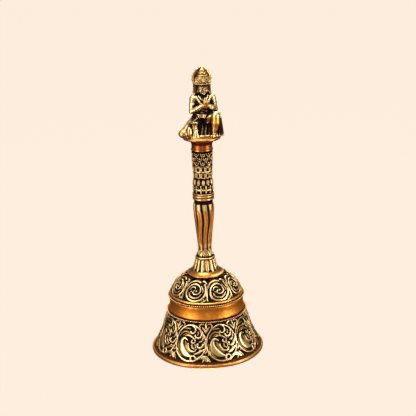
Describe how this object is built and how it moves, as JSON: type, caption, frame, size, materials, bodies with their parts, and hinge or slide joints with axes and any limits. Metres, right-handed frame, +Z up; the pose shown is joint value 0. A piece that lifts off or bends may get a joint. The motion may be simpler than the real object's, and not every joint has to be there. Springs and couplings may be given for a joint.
{
  "type": "sanctus bell",
  "caption": "Brass altar hand bell with a hollow cast handle, a kneeling devotee finial and a swinging clapper on a swivel shackle.",
  "frame": {"origin": "centre of the bell's mouth, in the plane that the rim stands on", "axes": "+Z up along the bell's axis, from the mouth to the figure; the figure's front faces -Y, +X to the viewer's right"},
  "size_m": [0.0646, 0.0646, 0.165],
  "materials": {
    "antiqued_brass": "cast, chased and antiqued: near-black patina in the hollows, relieved bright on the high spots",
    "polished_brass": "turned and polished, warm orange-gold lacquer",
    "plain_brass": "plain turned brass, dulled by handling",
    "zinc_steel": "zinc-plated mild steel, slightly dull"
  },
  "bodies": {
    "bell": {"bell_cup": "antiqued_brass", "foot_plate": "polished_brass", "lotus_foot": "antiqued_brass", "fluted_stem": "antiqued_brass", "stem_collar": "polished_brass", "lower_grip_sleeve": "antiqued_brass", "upper_grip_sleeve": "antiqued_brass", "neck_ring": "polished_brass", "plinth_disc": "polished_brass", "devotee_figure": "antiqued_brass", "handle_tie_rod": "zinc_steel", "crown_washer": "zinc_steel", "crown_nut": "zinc_steel", "rivet_washer": "zinc_steel"},
    "shackle": {"swivel_shackle": "plain_brass", "clapper_pin": "zinc_steel"},
    "clapper": {"clapper_arm": "zinc_steel", "clapper_ball": "plain_brass"}
  },
  "joints": [
    {"name": "clapper_swivel", "type": "hinge", "parent": "bell", "child": "shackle", "pos_m": [0, 0, 0.0371], "axis": [0, 0, 1], "continuous": true},
    {"name": "clapper_swing", "type": "hinge", "parent": "shackle", "child": "clapper", "pos_m": [0, 0, 0.0309], "axis": [0, 1, 0], "range_deg": [-44.2, 44.2]}
  ]
}
